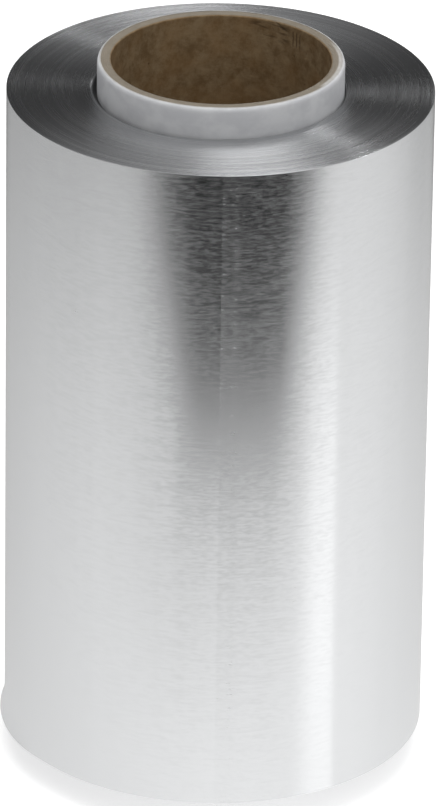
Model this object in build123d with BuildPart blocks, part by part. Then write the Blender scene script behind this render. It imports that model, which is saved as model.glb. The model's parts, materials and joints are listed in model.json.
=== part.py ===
"""Aluminium foil roll: a long strip of thin foil wound on a paper core.

The roll stands on the lower end of its core, in millimetres, with +Z along the winding axis.
The origin is the centre of the core's lower end.

foil_roll    all the turns of foil as one solid, with the free edge of the last turn
core_board   the kraft board tube that carries the winding
core_liner   the white paper ply glued around the board tube
"""

from build123d import *
import os

# Foil winding
foil_width = 120.0  # width of the strip, along the axis
roll_diameter = 74.0  # over the last turn
free_edge_step = 0.12  # how far the free edge of the last turn stands off the turn below
free_edge_angle = -89.0  # where the free edge lies, in degrees about +Z from +X
first_turn_relief = 0.35  # the first turns sink away from the core at each end face

# Paper core
core_bore = 38.0  # clear bore, for a spindle or the plugs of a dispenser
board_wall = 1.75  # kraft board
liner_wall = 0.6  # white outer ply
core_projection = 5.5  # how far the core stands out of the winding at each end
bore_edge_chamfer = 0.3  # cut inner edge of the board
rim_rounding = 0.45  # burnished outer edge of the liner

roll_radius = roll_diameter / 2
board_inner_radius = core_bore / 2
board_outer_radius = board_inner_radius + board_wall
core_radius = board_outer_radius + liner_wall
core_length = foil_width + 2 * core_projection


def circles_of_radius(part, radius):
    """The circular edges of a part that have this radius, at both ends."""
    return part.edges().filter_by(GeomType.CIRCLE).filter_by(lambda edge: abs(edge.radius - radius) < 1e-6)


# The section of the winding is a spiral of two half-turn arcs. It starts one step inside the roll's
# radius, at the foot of the free edge, and reaches the full radius where the free edge ends it.
winding_plane = Plane.XY.offset(core_projection).rotated((0, 0, free_edge_angle))
outer_half_radius = roll_radius - free_edge_step / 4
inner_half_radius = roll_radius - 3 * free_edge_step / 4

with BuildPart() as foil_roll:
    with BuildSketch(winding_plane):
        with BuildLine():
            CenterArc((free_edge_step / 4, 0), outer_half_radius, 0, 180)
            CenterArc((-free_edge_step / 4, 0), inner_half_radius, 180, 180)
            Line((roll_radius - free_edge_step, 0), (roll_radius, 0))
        make_face()
        Circle(core_radius, mode=Mode.SUBTRACT)
    extrude(amount=foil_width)
    chamfer(circles_of_radius(foil_roll, core_radius), first_turn_relief)

with BuildPart() as core_board:
    with BuildSketch():
        Circle(board_outer_radius)
        Circle(board_inner_radius, mode=Mode.SUBTRACT)
    extrude(amount=core_length)
    chamfer(circles_of_radius(core_board, board_inner_radius), bore_edge_chamfer)

with BuildPart() as core_liner:
    with BuildSketch():
        Circle(core_radius)
        Circle(board_outer_radius, mode=Mode.SUBTRACT)
    extrude(amount=core_length)
    fillet(circles_of_radius(core_liner, core_radius), rim_rounding)

foil_roll.part.label = "foil_roll"
core_board.part.label = "core_board"
core_liner.part.label = "core_liner"

os.makedirs("parts", exist_ok=True)
export_step(foil_roll.part, "parts/foil_roll.step")
export_step(core_board.part, "parts/core_board.step")
export_step(core_liner.part, "parts/core_liner.step")
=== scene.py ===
"""The looks of an aluminium foil roll on its paper core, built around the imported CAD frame.

All sizes are in metres, in the frame's own axes: +Z is the winding axis and the origin is the
centre of the core's lower end. Angles are measured about +Z from +X.
"""

import json
import math

import bpy
from mathutils import Matrix, Vector


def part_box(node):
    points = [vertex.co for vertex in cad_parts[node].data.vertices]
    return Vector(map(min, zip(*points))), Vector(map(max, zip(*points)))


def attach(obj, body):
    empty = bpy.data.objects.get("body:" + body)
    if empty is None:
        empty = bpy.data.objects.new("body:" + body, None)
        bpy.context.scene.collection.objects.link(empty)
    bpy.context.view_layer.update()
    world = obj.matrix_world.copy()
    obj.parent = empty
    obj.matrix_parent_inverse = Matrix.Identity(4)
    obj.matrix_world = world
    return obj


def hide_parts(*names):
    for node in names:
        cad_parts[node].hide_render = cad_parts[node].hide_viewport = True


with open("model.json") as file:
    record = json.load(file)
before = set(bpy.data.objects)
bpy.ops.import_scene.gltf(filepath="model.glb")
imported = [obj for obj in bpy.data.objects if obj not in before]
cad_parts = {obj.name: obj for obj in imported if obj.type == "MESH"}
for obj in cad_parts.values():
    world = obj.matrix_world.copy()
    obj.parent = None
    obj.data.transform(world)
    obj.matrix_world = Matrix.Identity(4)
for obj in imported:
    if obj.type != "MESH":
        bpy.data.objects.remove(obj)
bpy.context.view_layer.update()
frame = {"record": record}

MM = 0.001
TURN = 2 * math.pi


# ---------------------------------------------------------------- sizes, from the frame

foil_low, foil_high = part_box("foil_roll")
board_low, board_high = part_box("core_board")
liner_low, liner_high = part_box("core_liner")

lower_edge = foil_low.z
foil_width = foil_high.z - foil_low.z
roll_radius = foil_high.x
core_radius = liner_high.x
board_radius = board_high.x
core_length = board_high.z
bore_radius = next(m for m in frame["record"]["mounts"] if m["name"] == "core_bore")["dims"]["r_mm"] * MM

FREE_EDGE_ANGLE = math.radians(-89.0)  # as in the CAD


# ---------------------------------------------------------------- node trees written as expressions


class Value:
    """A socket in a node tree. Arithmetic on it adds the Math nodes that work it out."""

    def __init__(self, graph, socket):
        self.graph = graph
        self.socket = socket

    def math(self, operation, *others, clamp=False):
        settings = {"operation": operation, "use_clamp": clamp}
        return self.graph.add("ShaderNodeMath", settings, [self, *others])

    def __add__(self, other):
        return self.math("ADD", other)

    __radd__ = __add__

    def __mul__(self, other):
        return self.math("MULTIPLY", other)

    __rmul__ = __mul__

    def __sub__(self, other):
        return self.math("SUBTRACT", other)

    def __rsub__(self, other):
        return self.graph.add("ShaderNodeMath", {"operation": "SUBTRACT"}, [other, self])

    def __truediv__(self, other):
        return self.math("DIVIDE", other)

    def __rtruediv__(self, other):
        return self.graph.add("ShaderNodeMath", {"operation": "DIVIDE"}, [other, self])

    def __pow__(self, other):
        return self.math("POWER", other)

    def __gt__(self, other):
        return self.math("GREATER_THAN", other)

    def __lt__(self, other):
        return self.math("LESS_THAN", other)

    def __abs__(self):
        return self.math("ABSOLUTE")

    def clamp(self):
        """The value held between 0 and 1."""
        return self.math("ADD", 0.0, clamp=True)


class Graph:
    """A node tree being written."""

    def __init__(self, tree):
        self.tree = tree
        tree.nodes.clear()

    def add(self, kind, settings=None, inputs=(), output=0):
        """Makes a node, sets its settings and then its inputs, and returns one of its outputs.

        inputs is a list in the sockets' order, or a dict by the sockets' identifier or name. Each
        is a plain value or a Value. output is a place or a name, or None for the node itself.
        """
        node = self.tree.nodes.new(kind)
        for name, setting in (settings or {}).items():
            if name == "stops":
                set_stops(node.color_ramp, setting)
            else:
                setattr(node, name, setting)
        pairs = inputs.items() if isinstance(inputs, dict) else enumerate(inputs)
        for key, given in pairs:
            socket = find_socket(node.inputs, key)
            if isinstance(given, Value):
                self.tree.links.new(given.socket, socket)
            else:
                socket.default_value = given
        if output is None:
            return node
        return Value(self, find_socket(node.outputs, output))

    def xyz(self, x=0.0, y=0.0, z=0.0):
        return self.add("ShaderNodeCombineXYZ", None, [x, y, z])

    def split(self, vector):
        """The three parts of a vector."""
        node = self.add("ShaderNodeSeparateXYZ", None, [vector], output=None)
        return [Value(self, socket) for socket in node.outputs]

    def smooth(self, value, start, end, low=0.0, high=1.0):
        """low before start, high after end, and an S-shaped rise between them."""
        settings = {"interpolation_type": "SMOOTHSTEP"}
        return self.add("ShaderNodeMapRange", settings, [value, start, end, low, high])

    def noise(self, vector, scale=1.0, detail=2.0, roughness=0.5, distortion=0.0):
        inputs = {
            "Vector": vector,
            "Scale": scale,
            "Detail": detail,
            "Roughness": roughness,
            "Distortion": distortion,
        }
        return self.add("ShaderNodeTexNoise", None, inputs)

    def mix(self, factor, first, second):
        """A colour between two colours."""
        inputs = {"Factor_Float": factor, "A_Color": first, "B_Color": second}
        return self.add("ShaderNodeMix", {"data_type": "RGBA"}, inputs, "Result_Color")


def find_socket(sockets, key):
    if isinstance(key, int):
        return sockets[key]
    for socket in sockets:
        if socket.identifier == key:
            return socket
    return sockets[key]


def set_stops(ramp, stops):
    """Gives a ramp these (position, grey) or (position, colour) stops."""
    while len(ramp.elements) < len(stops):
        ramp.elements.new(1.0)
    for element, (position, colour) in zip(ramp.elements, stops):
        element.position = position
        element.color = colour if isinstance(colour, tuple) else (colour, colour, colour, 1.0)


def srgb(red, green, blue):
    """A colour given in screen values from 0 to 255."""

    def linear(c):
        c /= 255
        return c / 12.92 if c <= 0.04045 else ((c + 0.055) / 1.055) ** 2.4

    return (linear(red), linear(green), linear(blue), 1.0)


# ---------------------------------------------------------------- ring-shaped pieces


class Ring:
    """A closed ring round the axis, as a grid wrapped both ways, for a Geometry Nodes tree.

    Going up the grid, its section runs outwards over the lower end face, up the outside, inwards
    over the upper end face and down the inside. across is 0 on the inside and 1 on the outside,
    and along is 0 at the lower end and 1 at the upper end.
    """

    def __init__(self, graph, around, faces, outside, inside):
        rows = 2 * faces + outside + inside
        size = {"Size X": around, "Size Y": rows, "Vertices X": around + 1, "Vertices Y": rows + 1}
        self.graph = graph
        self.mesh = graph.add("GeometryNodeMeshGrid", None, size)
        place = graph.add("GeometryNodeInputPosition")
        x, y, _ = graph.split(place)
        self.column = x + around / 2
        row = y + rows / 2
        self.across = (row / faces).clamp() - ((row - faces - outside) / faces).clamp()
        self.along = ((row - faces) / outside).clamp() - ((row - 2 * faces - outside) / inside).clamp()
        # +1 on the upper end face, -1 on the lower one and 0 between them
        self.end = (self.along > 0.9999) - (self.along < 0.0001)

    def shape(self, angle, radius, height, material):
        """Moves the grid's points to their places, closes it and gives it a material."""
        graph = self.graph
        place = graph.xyz(radius * angle.math("COSINE"), radius * angle.math("SINE"), height)
        moved = graph.add("GeometryNodeSetPosition", None, {"Geometry": self.mesh, "Position": place})
        closed = graph.add("GeometryNodeMergeByDistance", None, {"Geometry": moved, "Distance": 1e-7})
        real = graph.add("GeometryNodeRealizeInstances", None, {"Geometry": closed})
        return graph.add("GeometryNodeSetMaterial", None, {"Geometry": real, "Material": material})


def geometry_tree(name, sizes):
    """A Geometry Nodes tree with named number inputs. Returns its graph and the inputs' values."""
    tree = bpy.data.node_groups.new(name, "GeometryNodeTree")
    tree.interface.new_socket("Geometry", in_out="OUTPUT", socket_type="NodeSocketGeometry")
    for label in sizes:
        tree.interface.new_socket(label, in_out="INPUT", socket_type="NodeSocketFloat")
    tree.interface.new_socket("Material", in_out="INPUT", socket_type="NodeSocketMaterial")
    graph = Graph(tree)
    given = tree.nodes.new("NodeGroupInput")
    return graph, {socket.name: Value(graph, socket) for socket in given.outputs if socket.name}


def close_tree(graph, geometry):
    graph.tree.links.new(geometry.socket, graph.tree.nodes.new("NodeGroupOutput").inputs[0])


def make_piece(name, graph, sizes, material, sharp_from=35.0):
    """Runs a Geometry Nodes tree with these sizes and keeps its result as a plain mesh object."""
    maker = bpy.data.objects.new(name + "_maker", bpy.data.meshes.new(name + "_maker"))
    bpy.context.scene.collection.objects.link(maker)
    modifier = maker.modifiers.new(name, "NODES")
    modifier.node_group = graph.tree
    for item in graph.tree.interface.items_tree:
        if item.in_out == "INPUT":
            modifier[item.identifier] = material if item.name == "Material" else sizes[item.name]
    evaluated = maker.evaluated_get(bpy.context.evaluated_depsgraph_get())
    mesh = bpy.data.meshes.new_from_object(evaluated)
    mesh.name = name
    mesh.materials.clear()
    mesh.materials.append(material)
    bpy.data.objects.remove(maker)
    piece = bpy.data.objects.new(name, mesh)
    bpy.context.scene.collection.objects.link(piece)
    mesh.shade_smooth()
    mesh.set_sharp_from_angle(angle=math.radians(sharp_from))
    return piece


# ---------------------------------------------------------------- materials


def start_material(name):
    material = bpy.data.materials.new(name)
    material.use_nodes = True
    return material, Graph(material.node_tree)


def finish_material(graph, colour, roughness, normal, **constants):
    """Joins a Principled surface. constants are sockets that are the same all over."""
    inputs = {"Base Color": colour, "Roughness": roughness, "Normal": normal}
    inputs.update({name.replace("_", " "): number for name, number in constants.items()})
    surface = graph.add("ShaderNodeBsdfPrincipled", None, inputs)
    graph.add("ShaderNodeOutputMaterial", None, {"Surface": surface}, output=None)


def object_place(graph):
    """The x, y, z, radius and angle of a point of the piece."""
    place = graph.add("ShaderNodeTexCoord", None, {}, "Object")
    x, y, z = graph.split(place)
    radius = (x * x + y * y).math("SQRT")
    angle = y.math("ARCTAN2", x)
    return x, y, z, radius, angle


def bump(graph, height, distance, strength=1.0, normal=None):
    inputs = {"Height": height, "Distance": distance, "Strength": strength}
    if normal:
        inputs["Normal"] = normal
    return graph.add("ShaderNodeBump", None, inputs)


def tilted(graph, normal, *tilts):
    """The normal leaned over by (direction, slope) pairs."""
    for direction, slope in tilts:
        lean = graph.add("ShaderNodeVectorMath", {"operation": "SCALE"}, {"Vector": direction, "Scale": slope})
        normal = graph.add("ShaderNodeVectorMath", {"operation": "ADD"}, [normal, lean])
    return graph.add("ShaderNodeVectorMath", {"operation": "NORMALIZE"}, [normal])


def foil_side_material():
    """Rolled foil seen on its face: fine marks run round the roll, and the gloss spreads along it."""
    material, graph = start_material("foil_side")
    x, y, z, radius, angle = object_place(graph)
    round_the_roll = graph.xyz(y / radius * -1, x / radius, 0.0)
    along_the_roll = graph.xyz(0.0, 0.0, 1.0)

    # Marks of the rolling mill: dashes round the roll, a fraction of a millimetre high
    long_marks = graph.noise(graph.xyz(x * 210, y * 210, z * 2000), detail=2, roughness=0.6) - 0.5
    short_marks = graph.noise(graph.xyz(x * 760, y * 760, z * 2700), detail=2, roughness=0.6) - 0.5
    sideways = graph.noise(graph.xyz(x * 420, y * 420, z * 2800 + 40), detail=2, roughness=0.6) - 0.5
    marks = long_marks * 0.6 + short_marks
    dashes = graph.smooth(marks, -0.20, 0.25)
    # Soft bands along the roll, where the tension of the strip changed
    bands = graph.noise(graph.xyz(x * 300, y * 300, z * 3), detail=2) - 0.5
    cloud = graph.noise(graph.xyz(x * 60, y * 60, z * 60), detail=3) - 0.5

    # The last turn is a little duller just past its free edge, and the one below it brighter
    past_edge = (angle - FREE_EDGE_ANGLE) * (roll_radius / MM)
    dull_strip = graph.smooth(past_edge, -0.1, 0.1) * graph.smooth(past_edge, 1.5, 5.5, 1.0, 0.0)
    bright_strip = graph.smooth(past_edge, -4.5, -1.0) * graph.smooth(past_edge, -0.1, 0.1, 1.0, 0.0)

    surface = graph.add("ShaderNodeNewGeometry", None, {}, "Normal")
    loose_rim = graph.smooth(z, lower_edge + 95 * MM, lower_edge + foil_width)
    normal = tilted(
        graph,
        surface,
        (along_the_roll, marks * 0.022),
        (round_the_roll, sideways * (0.03 + loose_rim * 0.05) + bands * 0.02),
    )
    roughness = 0.172 + cloud * 0.02 + dashes * 0.085 + bands * 0.08
    roughness = roughness + dull_strip * 0.02 - bright_strip * 0.02
    scatter = 0.02 + dashes * 0.03
    colour = graph.mix(marks * 0.8 + 0.5, srgb(236, 237, 238), srgb(243, 244, 245))
    finish_material(
        graph,
        colour,
        roughness,
        normal,
        Metallic=1 - scatter,
        Anisotropic=0.66,
        Anisotropic_Rotation=0.25,
    )
    return material


def foil_edge_material():
    """The end faces: the edges of the turns, side by side, as fine rings, with a painted shade in the gap beside
    the core.
    """
    material, graph = start_material("foil_edge")
    x, y, z, radius, angle = object_place(graph)
    east = x / radius
    north = y / radius
    fine = graph.noise(graph.xyz(radius * 9000, east * 0.8, north * 0.8), detail=3, roughness=0.7)
    broad = graph.noise(graph.xyz(radius * 1500, east * 0.5, north * 0.5), detail=2)
    rings = fine * 0.6 + broad * 0.4
    swell = graph.noise(graph.xyz(radius * 900, east * 1.1, north * 1.1), detail=2) - 0.5
    outwards = graph.xyz(east, north, 0.0)
    normal = tilted(graph, bump(graph, rings, 0.01 * MM), (outwards, swell * 0.17 + (rings - 0.5) * 0.03))
    roughness = 0.265 + (rings - 0.5) * 0.12
    colour = graph.mix((rings - 0.5) * 1.6 + 0.5, srgb(176, 177, 179), srgb(226, 227, 229))
    # Painted shade: the end face is coloured near black in the gap beside the core, in a wider band at the left
    # side where the gap is more open.
    open_side = graph.smooth(east, 0.3, -0.9)
    from_core = (radius - core_radius) / MM - open_side * 0.5
    painted_crevice_shade = graph.smooth(from_core, 0.1, 0.6, 1.0, 0.0)
    colour = graph.mix(painted_crevice_shade, colour, srgb(22, 22, 24))
    finish_material(
        graph, colour, roughness, normal, Metallic=1.0, Anisotropic=1.0, Anisotropic_Rotation=0.25
    )
    return material


def white_paper_material():
    """Coated white paper: faintly clouded outside, and greyer where its edge is cut across."""
    material, graph = start_material("coated_paper")
    x, y, z, radius, angle = object_place(graph)
    fibre = graph.noise(graph.xyz(x * 700, y * 700, z * 1500), detail=4, roughness=0.65)
    cloud = graph.noise(graph.xyz(x * 220, y * 220, z * 300), detail=3)
    colour = graph.mix(graph.smooth(cloud, 0.35, 0.65), srgb(224, 225, 228), srgb(237, 238, 240))
    cut_edge = graph.smooth(radius, board_radius + 0.1 * MM, board_radius + 0.4 * MM, 1.0, 0.0)
    colour = graph.mix(cut_edge * (fibre + 0.2), colour, srgb(168, 164, 157))
    normal = bump(graph, fibre, 0.03 * MM)
    roughness = 0.55 + (cloud - 0.5) * 0.2
    finish_material(graph, colour, roughness, normal)
    return material


def kraft_board_material():
    """Kraft board: a brown inner wall, and a paler ring where the plies are cut across."""
    material, graph = start_material("kraft_plies")
    x, y, z, radius, angle = object_place(graph)
    depth = (core_length - z) / MM
    degrees = angle * (180 / math.pi)
    mottle = graph.noise(graph.xyz(x * 420, y * 420, z * 420), detail=5, roughness=0.7)
    cloud = graph.noise(graph.xyz(x * 170, y * 170, z * 170), detail=2)
    fibre = graph.noise(graph.xyz(x * 500, y * 500, z * 1400), detail=4, roughness=0.7, distortion=0.6)
    brown = graph.mix(graph.smooth(mottle, 0.3, 0.7), srgb(122, 98, 66), srgb(160, 138, 106))
    brown = graph.mix(graph.smooth(cloud, 0.35, 0.65) * 0.35, brown, srgb(150, 116, 74))
    # A few dark flecks in the pulp
    flecks = graph.noise(graph.xyz(x * 520, y * 520, z * 520 + 7), detail=1)
    brown = graph.mix(graph.smooth(flecks, 0.76, 0.82), brown, srgb(84, 64, 40))

    # Scuffs just inside the rim: short upright ticks, then curved creases beyond them
    in_ticks = graph.smooth(degrees, 42.0, 43.0) * graph.smooth(degrees, 50.0, 51.0, 1.0, 0.0)
    in_ticks = in_ticks * graph.smooth(depth, 0.8, 1.4) * graph.smooth(depth, 3.2, 4.4, 1.0, 0.0)
    ticks = in_ticks * graph.smooth((degrees / 2.4).math("PINGPONG", 0.5), 0.25, 0.45)
    in_creases = graph.smooth(degrees, 50.0, 56.0) * graph.smooth(degrees, 70.0, 78.0, 1.0, 0.0)
    in_creases = in_creases * graph.smooth(depth, 0.4, 1.0) * graph.smooth(depth, 3.4, 4.2, 1.0, 0.0)
    slanted = graph.noise(graph.xyz(degrees * 0.05, 0.0, depth * 1.1 + degrees * 0.03), detail=2)
    creases = in_creases * graph.smooth(slanted, 0.48, 0.60)
    scuff = (ticks + creases).clamp()
    brown = graph.mix(scuff * 0.7, brown, srgb(72, 54, 34))

    cut = graph.mix(mottle, srgb(116, 107, 93), srgb(158, 149, 135))
    # At one side the white ply is rubbed over the edge of the board
    rubbed = graph.smooth(degrees, -36.0, -28.0) * graph.smooth(degrees, 12.0, 26.0, 1.0, 0.0)
    rubbed = rubbed * graph.smooth(radius, board_radius - 0.7 * MM, board_radius - 0.3 * MM)
    cut = graph.mix(rubbed * (fibre + 0.25), cut, srgb(206, 204, 200))
    on_rim = graph.smooth(radius, bore_radius + 0.05 * MM, bore_radius + 0.25 * MM)
    colour = graph.mix(on_rim, brown, cut)
    normal = bump(graph, fibre - scuff * 0.5, 0.05 * MM)
    roughness = 0.85 + (mottle - 0.5) * 0.2
    finish_material(graph, colour, roughness, normal)
    return material


# ---------------------------------------------------------------- the winding


def winding_piece(side, edges):
    """All the turns of foil as one closed piece, with the free edge of the last turn."""
    sizes = {
        "Roll Radius": roll_radius,
        "Core Radius": core_radius,
        "Lower Edge": lower_edge,
        "Foil Width": foil_width,
        "Free Edge Angle": FREE_EDGE_ANGLE,
        "Strip Thickness": 0.03 * MM,
        "Free Edge Lift": 0.05 * MM,
        "Turn Ridge": 0.05 * MM,
        "Flare Reach": 0.8 * MM,
        "Flare Height": 4.5 * MM,
        "Flare Angle": math.radians(184),
    }
    graph, size = geometry_tree("winding", sizes)
    around = 400
    ring = Ring(graph, around, faces=68, outside=44, inside=6)

    # The columns go once round from the free edge. The last gap is the edge itself, nearly upright.
    edge_gap = 0.0005
    turned = ring.column * ((TURN - edge_gap) / (around - 1))
    turned = turned * (turned < TURN - edge_gap / 2)
    angle = turned + size["Free Edge Angle"]
    east = angle.math("COSINE")
    north = angle.math("SINE")

    height_up = ring.along ** 1.5 * size["Foil Width"]
    lift = size["Free Edge Lift"] * (turned / 0.11 * -1).math("EXPONENT")
    ripple = graph.noise(graph.xyz(east * 2.2, north * 2.2, height_up * 4), detail=1) - 0.5
    flare_side = (angle - size["Flare Angle"]).math("COSINE")
    flare = (1 - height_up / size["Flare Height"]).clamp() ** 2 * graph.smooth(flare_side, 0.8, 0.99)
    outside = size["Roll Radius"] - size["Strip Thickness"] * (turned / TURN)
    outside = outside + lift + ripple * (0.06 * MM) + flare * size["Flare Reach"]
    radius = size["Core Radius"] + (size["Roll Radius"] - size["Core Radius"]) * ring.across
    outermost = ring.across > 0.9999
    radius = radius + (outside - size["Roll Radius"]) * outermost

    # Each turn's edge stands a little above or below its neighbours, and a few sink at the core
    turn_edge = graph.noise(graph.xyz(radius * 2600, east * 0.3, north * 0.3), detail=2) - 0.5
    drift = graph.noise(graph.xyz(radius * 240, east * 0.2, north * 0.2), detail=1) - 0.5
    open_side = graph.smooth(east, 0.3, -0.9)
    sunk = (1 - ring.across / (0.025 + open_side * 0.04)).clamp() * (1.0 * MM)
    rounded = outermost * (0.03 * MM)
    stand = turn_edge * size["Turn Ridge"] + drift * (0.10 * MM) - sunk - rounded
    height = size["Lower Edge"] + height_up + ring.end * stand
    close_tree(graph, ring.shape(angle, radius, height, size["Material"]))

    piece = make_piece("foil_winding", graph, sizes, side)
    piece.data.materials.append(edges)
    for face in piece.data.polygons:
        outermost = face.center.to_2d().length > roll_radius - 0.09 * MM
        face.material_index = 0 if outermost and abs(face.normal.z) < 0.7 else 1
    return piece


# ---------------------------------------------------------------- the core


def liner_piece(material):
    """The white ply: a thin tube with burnished ends and the step of its own spiral lap."""
    sizes = {
        "Outer Radius": core_radius,
        "Inner Radius": board_radius,
        "Length": core_length,
        "Rim Rounding": 0.5 * MM,
        "Rim Drop": 0.9 * MM,
        "Lap Step": 0.05 * MM,
        "Lap Pitch": 70 * MM,
        "Lap Angle": math.radians(-29),
    }
    graph, size = geometry_tree("liner", sizes)
    around = 360
    ring = Ring(graph, around, faces=4, outside=90, inside=40)
    angle = ring.column * (TURN / around)
    east = angle.math("COSINE")
    north = angle.math("SINE")
    spread = ring.along - (ring.along * TURN).math("SINE") / TURN
    height = spread * size["Length"]
    from_end = height.math("MINIMUM", size["Length"] - height)
    depth = (1 - from_end / size["Rim Drop"]).clamp()
    corner = size["Rim Rounding"] * (1 - (1 - depth * depth).math("SQRT"))
    turns = (angle - size["Lap Angle"]) / TURN + (size["Length"] - height) / size["Lap Pitch"]
    lap = turns.math("FRACT")
    step = graph.smooth(lap, 0.0, 0.004) * graph.smooth(lap, 0.02, 0.12, 1.0, 0.0) * size["Lap Step"]
    wave = graph.noise(graph.xyz(east * 3, north * 3, height * 60), detail=2) - 0.5
    outside = size["Outer Radius"] - corner + step + wave * (0.05 * MM)
    radius = size["Inner Radius"] + (outside - size["Inner Radius"]) * ring.across
    rim = graph.noise(graph.xyz(east * 5, north * 5, radius * 900), detail=3) - 0.5
    height = height + ring.end * rim * (0.12 * MM)
    close_tree(graph, ring.shape(angle, radius, height, size["Material"]))
    return make_piece("white_paper_ply", graph, sizes, material)


def board_piece(material):
    """The kraft board tube: the cut plies show as rings on the rim, and one joint winds inside."""
    sizes = {
        "Outer Radius": board_radius,
        "Inner Radius": bore_radius,
        "Length": core_length,
        "Edge Break": 0.3 * MM,
        "Ply Thickness": 0.35 * MM,
        "Joint Pitch": 70 * MM,
        "Joint Angle": math.radians(62),
    }
    graph, size = geometry_tree("board", sizes)
    around = 360
    ring = Ring(graph, around, faces=18, outside=40, inside=120)
    angle = ring.column * (TURN / around)
    east = angle.math("COSINE")
    north = angle.math("SINE")
    spread = ring.along - (ring.along * TURN).math("SINE") / TURN
    height = spread * size["Length"]
    from_end = height.math("MINIMUM", size["Length"] - height)
    edge = size["Edge Break"]
    broken = (1 - from_end / edge).clamp() ** 2 * edge
    turns = (angle - size["Joint Angle"]) / TURN + (size["Length"] - height) / size["Joint Pitch"]
    lap = turns.math("FRACT")
    joint = graph.smooth(abs(lap - 0.5), 0.496, 0.499)
    fuzz = graph.noise(graph.xyz(east * 9, north * 9, height * 350), detail=3) - 0.5
    inside = size["Inner Radius"] + broken + joint * (0.12 * MM) + fuzz * (0.06 * MM)
    radius = inside + (size["Outer Radius"] - inside) * ring.across
    ply = ((radius - size["Inner Radius"]) / size["Ply Thickness"]).math("PINGPONG", 0.5) * 2
    rough = graph.noise(graph.xyz(east * 12, north * 12, radius * 1800), detail=3) - 0.5
    height = height + ring.end * (ply * (0.06 * MM) + rough * (0.14 * MM) - 0.06 * MM)
    close_tree(graph, ring.shape(angle, radius, height, size["Material"]))
    return make_piece("kraft_board_tube", graph, sizes, material)


# ---------------------------------------------------------------- the stage


def ray_kinds(graph, *names):
    """1 for rays of any of these kinds."""
    path = graph.add("ShaderNodeLightPath", None, {}, output=None)
    kinds = [Value(graph, path.outputs[name]) for name in names]
    total = kinds[0]
    for kind in kinds[1:]:
        total = total + kind
    return total.clamp()


def make_floor():
    """A plain pale floor. Seen directly or in the metal it is white, and it keeps its shadows."""
    material, graph = start_material("pale_floor")
    diffuse = graph.add("ShaderNodeBsdfDiffuse", None, {"Color": srgb(242, 242, 242)})
    seen = ray_kinds(graph, "Is Camera Ray", "Is Glossy Ray", "Is Transmission Ray")
    glow = graph.add("ShaderNodeEmission", None, {"Strength": seen * 0.50})
    surface = graph.add("ShaderNodeAddShader", None, [diffuse, glow])
    graph.add("ShaderNodeOutputMaterial", None, {"Surface": surface}, output=None)
    bpy.ops.mesh.primitive_plane_add(size=8.0, location=(0, 0, 0))
    floor = bpy.context.object
    floor.name = "floor"
    floor.data.materials.append(material)


def make_gradient_card():
    """A large card on the floor that only the metal sees. It is pale near the roll and falls off
    with distance, with a dark patch out in front and a bright stripe at the right."""
    material, graph = start_material("gradient_card")
    x, y, z, radius, angle = object_place(graph)
    # A mirror cylinder spreads its view from a point halfway between its axis and its front
    round_from_front = (x - 1 * MM).math("ARCTAN2", -22 * MM - y) * (180 / math.pi)
    distance = ((radius - roll_radius) / (274 * MM)).math("MAXIMUM", 0.0)

    to_left = ((22 - round_from_front) / 182).math("MAXIMUM", 0.0)
    to_right = ((round_from_front - 80) / 80).math("MAXIMUM", 0.0)
    level = 0.93 - to_left ** 1.9 * 0.37 - to_right * 0.26
    behind = graph.smooth(abs(round_from_front), 150.0, 180.0)
    level = level + (0.52 - level) * behind
    right_side = graph.smooth(round_from_front, 52.0, 74.0) * graph.smooth(round_from_front, 96.0, 140.0, 1.0, 0.0)
    fall = distance.math("MINIMUM", 1.4) ** 1.9
    level = level * (1 - (0.37 - right_side * 0.18) * fall)

    stripe = graph.smooth(round_from_front, 43.0, 61.0) * graph.smooth(round_from_front, 67.0, 70.0, 1.0, 0.0)
    stripe = stripe * graph.smooth(distance, 0.0, 0.3, 0.16, 0.23) * graph.smooth(distance, 0.5, 0.95, 1.0, 0.1)
    level = level + stripe

    widening = ((distance - 0.6) / 0.4).clamp()
    left_of_patch = graph.smooth(round_from_front + widening * 23, -26.0, -6.0)
    right_of_patch = graph.smooth(round_from_front - widening * 16, 28.0, 46.0, 1.0, 0.0)
    patch = left_of_patch * right_of_patch * graph.smooth(distance, 0.46, 0.70)
    halo = graph.smooth(round_from_front, -75.0, -20.0) * graph.smooth(round_from_front, 20.0, 60.0, 1.0, 0.0)
    halo = halo * graph.smooth(distance, 0.05, 0.4)
    back_patch = graph.smooth(abs(round_from_front), 152.0, 170.0) * graph.smooth(distance, 0.6, 1.0)
    level = level * (1 - patch) * (1 - back_patch * 0.8) * (1 - halo * 0.10)
    glow = graph.add("ShaderNodeEmission", None, {"Strength": level})
    graph.add("ShaderNodeOutputMaterial", None, {"Surface": glow}, output=None)

    bpy.ops.mesh.primitive_circle_add(vertices=96, radius=3.5, fill_type="NGON", location=(0, 0, 0.0002))
    card = bpy.context.object
    card.name = "gradient_card"
    card.data.materials.append(material)
    card.visible_camera = False
    card.visible_diffuse = False
    card.visible_shadow = False
    card.visible_transmission = False


def make_world():
    """Soft light from overhead that falls off towards the horizon. Seen directly it is near white."""
    world = bpy.data.worlds.new("studio")
    bpy.context.scene.world = world
    world.use_nodes = True
    graph = Graph(world.node_tree)
    direction = graph.add("ShaderNodeTexCoord", None, {}, "Generated")
    east, _, up = graph.split(direction)
    dome = graph.smooth(up + east * 0.13, 0.42, 0.95, 0.075, 0.95)
    seen = ray_kinds(graph, "Is Camera Ray")
    soft = ray_kinds(graph, "Is Diffuse Ray")
    strength = dome * (1 - seen) + seen * 0.95 + soft * 0.18
    light = graph.add("ShaderNodeBackground", None, {"Strength": strength})
    graph.add("ShaderNodeOutputWorld", None, {"Surface": light}, output=None)


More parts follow.
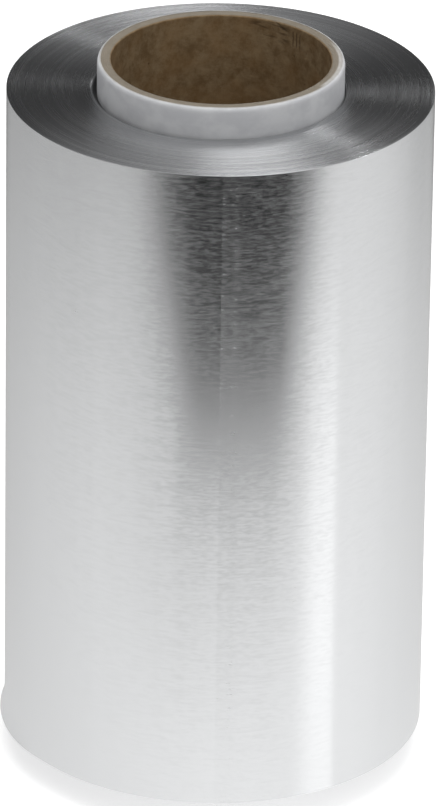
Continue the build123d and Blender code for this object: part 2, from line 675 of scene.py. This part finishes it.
def area_light(name, place, target, width, depth, power):
    lamp = bpy.data.lights.new(name, "AREA")
    lamp.shape = "RECTANGLE"
    lamp.size = width
    lamp.size_y = depth
    lamp.energy = power
    light = bpy.data.objects.new(name, lamp)
    light.location = place
    light.rotation_euler = (Vector(target) - Vector(place)).to_track_quat("-Z", "Y").to_euler()
    bpy.context.scene.collection.objects.link(light)
    return light


def make_camera():
    """A long lens looking down at 26 degrees, with the roll leaning a little to the right."""
    look_down = math.radians(25.813)
    lean = math.radians(0.810)
    away = 1570.16 * MM
    aim = Vector((0.626 * MM, 0.0, lower_edge + 59.696 * MM))
    back = Vector((0.0, -math.cos(look_down), math.sin(look_down)))
    right = Vector((1.0, 0.0, 0.0))
    up = right.cross(-back)
    lens = bpy.data.cameras.new("camera")
    lens.lens = 8963.7 / 806 * 36
    lens.sensor_width = 36
    lens.clip_start = 0.05
    lens.clip_end = 50
    camera = bpy.data.objects.new("camera", lens)
    rolled_right = math.cos(lean) * right + math.sin(lean) * up
    rolled_up = math.cos(lean) * up - math.sin(lean) * right
    place = aim + back * away
    camera.matrix_world = Matrix(
        (
            (rolled_right.x, rolled_up.x, back.x, place.x),
            (rolled_right.y, rolled_up.y, back.y, place.y),
            (rolled_right.z, rolled_up.z, back.z, place.z),
            (0, 0, 0, 1),
        )
    )
    bpy.context.scene.collection.objects.link(camera)
    bpy.context.scene.camera = camera


# ---------------------------------------------------------------- putting it together

side = foil_side_material()
edges = foil_edge_material()
winding = winding_piece(side, edges)
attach(winding, "root")
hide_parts("foil_roll")

liner = liner_piece(white_paper_material())
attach(liner, "root")
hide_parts("core_liner")

board = board_piece(kraft_board_material())
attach(board, "root")
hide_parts("core_board")

make_floor()
make_gradient_card()
make_world()
area_light("back_softbox", (0.083, 0.725, 1.08), (0, 0, 0.12), 0.22, 0.35, 0.72)
area_light("small_lamp", (0.351, 0.752, 0.99), (0, 0, 0.12), 0.03, 0.05, 0.27)
area_light("low_lamp", (0.29, 1.08, 0.556), (0, 0, 0.12), 0.12, 0.10, 0.06)
fill = area_light("front_fill", (0.25, -1.2, 0.9), (0, 0, 0.1), 2.2, 1.2, 3.4)
fill.visible_glossy = False
overhead = area_light("overhead_fill", (0.0, 0.0, 1.6), (0, 0, 0.1), 1.2, 1.2, 7.5)
overhead.visible_glossy = False
make_camera()
bpy.context.scene.view_settings.view_transform = "Standard"
